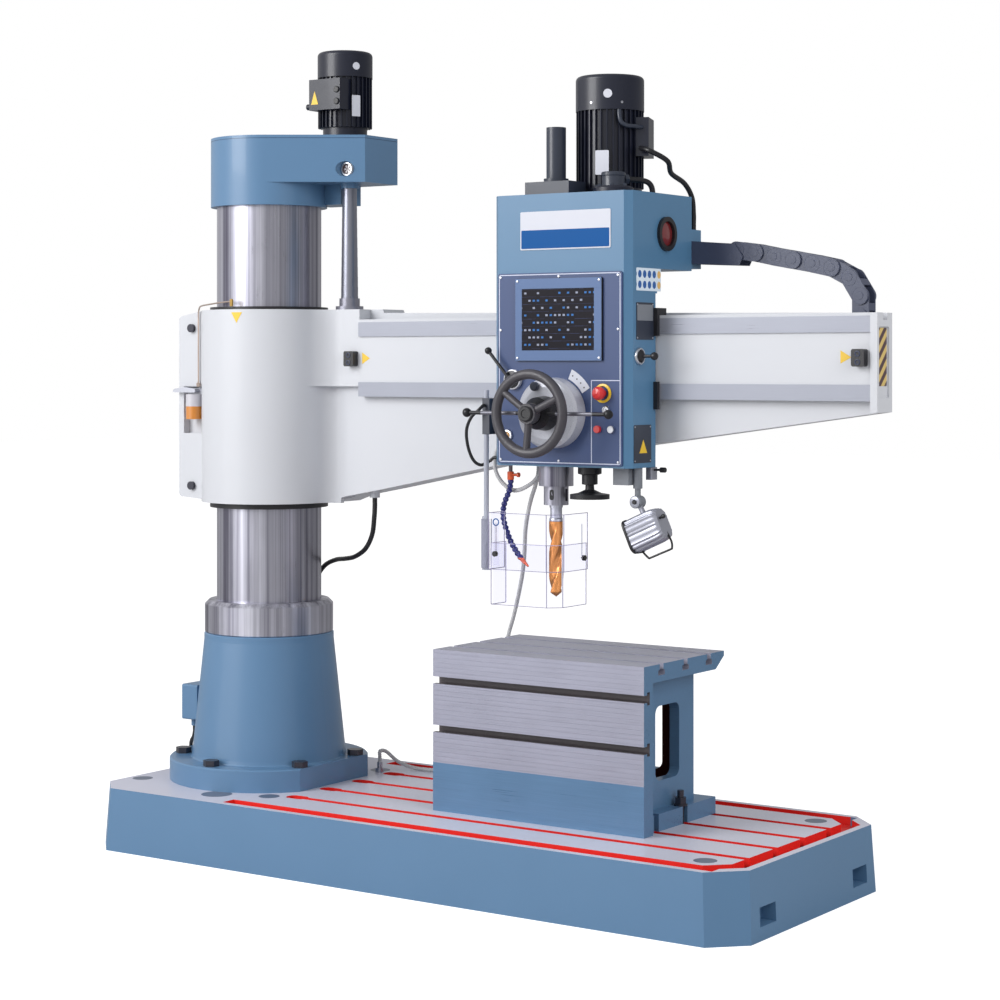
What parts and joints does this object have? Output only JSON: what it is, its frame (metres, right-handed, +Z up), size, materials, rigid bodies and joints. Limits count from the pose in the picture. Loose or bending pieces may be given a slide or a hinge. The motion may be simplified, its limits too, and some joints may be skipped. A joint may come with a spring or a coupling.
{
  "type": "radial arm drill",
  "caption": "Radial arm drilling machine with a turning column, a rising arm, a drill head that travels along it, a slotted base and a box table.",
  "frame": {"origin": "the column's axis at floor level", "axes": "+X out along the arm and the base, +Y to the back of the machine, +Z up along the column"},
  "size_m": [2.6106, 0.9752, 2.63],
  "materials": {
    "base_paint": "satin paint on the sides, planed iron on top",
    "cap_paint": "satin",
    "blue_paint": "satin with a fine orange peel",
    "head_paint": "satin with a fine orange peel",
    "white_paint": "satin with a fine orange peel",
    "motor_paint": "satin",
    "grey_sheet": "satin",
    "black_steel": "oxidised black",
    "bright_steel": "drawn",
    "ground_steel": "ground and oiled",
    "machined_steel": "planed",
    "dial_steel": "satin, turned",
    "lever_steel": "polished rods with black knobs",
    "spring_steel": "spring temper, oiled",
    "planed_iron": "planed and scraped",
    "dark_bronze": "dull",
    "dark_metal": "satin",
    "gold_steel": "gold coating on tool steel",
    "chrome_trim": "polished",
    "grey_handle": "hammered grey",
    "lamp_aluminium": "finned, anodised",
    "black_rubber": "matt",
    "black_cable": "smooth sheath",
    "grey_hose": "ribbed hose",
    "chain_plastic": "moulded",
    "black_plastic": "moulded",
    "blue_plastic": "moulded joints",
    "red_plastic": "moulded",
    "amber_plastic": "amber bowl with steel head",
    "panel_violet": "printed foil",
    "clear_sheet": "clear sheet"
  },
  "bodies": {
    "base": {"base_plate": "base_paint", "foundation_caps": "cap_paint", "column_stand": "blue_paint", "stand_bolts": "black_steel", "inner_column": "ground_steel", "column_bearings": "ground_steel", "mains_box": "blue_paint", "mains_cable": "black_cable", "box_table": "planed_iron", "table_bolts": "black_steel", "hose_fitting": "bright_steel"},
    "column": {"outer_column": "ground_steel", "clamp_ring": "machined_steel", "column_housing": "blue_paint", "housing_lid": "blue_paint", "lift_motor": "motor_paint", "sight_glass": "chrome_trim", "screw_cover": "spring_steel", "arm_cable": "black_cable"},
    "screw": {"elevating_screw": "ground_steel"},
    "arm": {"arm_casting": "white_paint", "arm_ways": "machined_steel", "sleeve_wipers": "black_rubber", "clamp_bolts": "black_steel", "arm_stops": "black_rubber", "lift_nut": "dark_bronze", "lubricator": "amber_plastic", "chain_trough": "grey_sheet"},
    "head": {"head_casting": "head_paint", "control_panel": "panel_violet", "touch_screen": "black_plastic", "way_wipers": "black_rubber", "main_motor": "motor_paint", "motor_conduit": "black_cable", "spindle_cover": "dark_metal", "oil_window": "black_plastic", "cable_chain": "chain_plastic", "lamp_bracket": "grey_sheet", "coolant_nozzle": "blue_plastic", "head_hose": "grey_hose", "guard_rod": "bright_steel", "switch_cable": "black_cable", "dial_drum": "dial_steel", "coolant_hose": "grey_hose"},
    "quill": {"quill": "ground_steel"},
    "spindle": {"spindle": "ground_steel", "drill_bit": "gold_steel"},
    "feed_levers": {"feed_levers": "lever_steel"},
    "handwheel": {"traverse_wheel": "grey_handle"},
    "fine_wheel": {"fine_wheel": "black_plastic"},
    "stop_mushroom": {"stop_mushroom": "red_plastic"},
    "start_button": {"start_button": "chrome_trim"},
    "stop_button": {"stop_button": "red_plastic"},
    "selector_lever": {"selector_lever": "bright_steel"},
    "joystick": {"joystick": "black_plastic"},
    "lubricator_lever": {"lubricator_lever": "bright_steel"},
    "guard": {"guard_upper": "clear_sheet"},
    "guard_tier": {"guard_lower": "clear_sheet"},
    "lamp_arm": {"lamp_arm": "grey_sheet"},
    "lamp_head": {"lamp_head": "lamp_aluminium"}
  },
  "joints": [
    {"name": "column_turn", "type": "hinge", "parent": "base", "child": "column", "pos_m": [0, 0, 1.4], "axis": [0, 0, 1], "range_deg": [-180, 180]},
    {"name": "screw_spin", "type": "hinge", "parent": "column", "child": "screw", "pos_m": [0.289, 0.07, 1.9], "axis": [0, 0, 1], "continuous": true},
    {"name": "arm_lift", "type": "slide", "parent": "column", "child": "arm", "axis": [0, 0, 1], "range_m": [-0.13, 0.33], "deforming": ["screw_cover", "arm_cable"]},
    {"name": "head_traverse", "type": "slide", "parent": "arm", "child": "head", "axis": [1, 0, 0], "range_m": [-0.62, 0.6], "deforming": ["coolant_hose"]},
    {"name": "quill_feed", "type": "slide", "parent": "head", "child": "quill", "axis": [0, 0, -1], "range_m": [0, 0.165]},
    {"name": "spindle_spin", "type": "hinge", "parent": "quill", "child": "spindle", "pos_m": [1.203, -0.075, 1.4], "axis": [0, 0, -1], "continuous": true},
    {"name": "feed_lever_turn", "type": "hinge", "parent": "head", "child": "feed_levers", "pos_m": [1.254, -0.26, 1.44], "axis": [0, 1, 0], "range_deg": [0, 243.2]},
    {"name": "traverse_wheel_turn", "type": "hinge", "parent": "head", "child": "handwheel", "pos_m": [1.254, -0.3, 1.44], "axis": [0, 1, 0], "continuous": true},
    {"name": "fine_wheel_turn", "type": "hinge", "parent": "head", "child": "fine_wheel", "pos_m": [1.324, -0.075, 1.2], "axis": [0, 0, 1], "continuous": true},
    {"name": "stop_press", "type": "slide", "parent": "head", "child": "stop_mushroom", "axis": [0, 1, 0], "range_m": [0, 0.006], "stiffness_N_per_m": 800},
    {"name": "start_press", "type": "slide", "parent": "head", "child": "start_button", "axis": [0, 1, 0], "range_m": [0, 0.004], "stiffness_N_per_m": 600},
    {"name": "stop_button_press", "type": "slide", "parent": "head", "child": "stop_button", "axis": [0, 1, 0], "range_m": [0, 0.004], "stiffness_N_per_m": 600},
    {"name": "selector_turn", "type": "hinge", "parent": "head", "child": "selector_lever", "pos_m": [1.103, -0.17, 1.54], "axis": [0, 1, 0], "range_deg": [-45, 45]},
    {"name": "joystick_turn", "type": "hinge", "parent": "head", "child": "joystick", "pos_m": [1.51, -0.098, 1.61], "axis": [0, 1, 0], "range_deg": [-12, 12], "stiffness_Nm_per_rad": 3},
    {"name": "lubricator_pull", "type": "hinge", "parent": "arm", "child": "lubricator_lever", "pos_m": [-0.228, -0.11, 1.497], "axis": [0, 1, 0], "range_deg": [0, 40], "stiffness_Nm_per_rad": 2},
    {"name": "guard_swing", "type": "hinge", "parent": "head", "child": "guard", "pos_m": [1.003, -0.16, 1.04], "axis": [0, 0, 1], "range_deg": [-110, 0]},
    {"name": "guard_height", "type": "slide", "parent": "guard", "child": "guard_tier", "axis": [0, 0, 1], "range_m": [0, 0.08]},
    {"name": "lamp_swivel", "type": "hinge", "parent": "head", "child": "lamp_arm", "pos_m": [1.49, -0.07, 1.2], "axis": [0, 0, 1], "range_deg": [-60, 60]},
    {"name": "lamp_tilt", "type": "hinge", "parent": "lamp_arm", "child": "lamp_head", "pos_m": [1.49, -0.07, 1.176], "axis": [0, 1, 0], "range_deg": [-20, 30]}
  ],
  "couplings": [
    {"joint": "screw_spin", "follows": "arm_lift", "rad_per_m": 1047.2},
    {"joint": "feed_lever_turn", "follows": "quill_feed", "rad_per_m": 25.704}
  ]
}
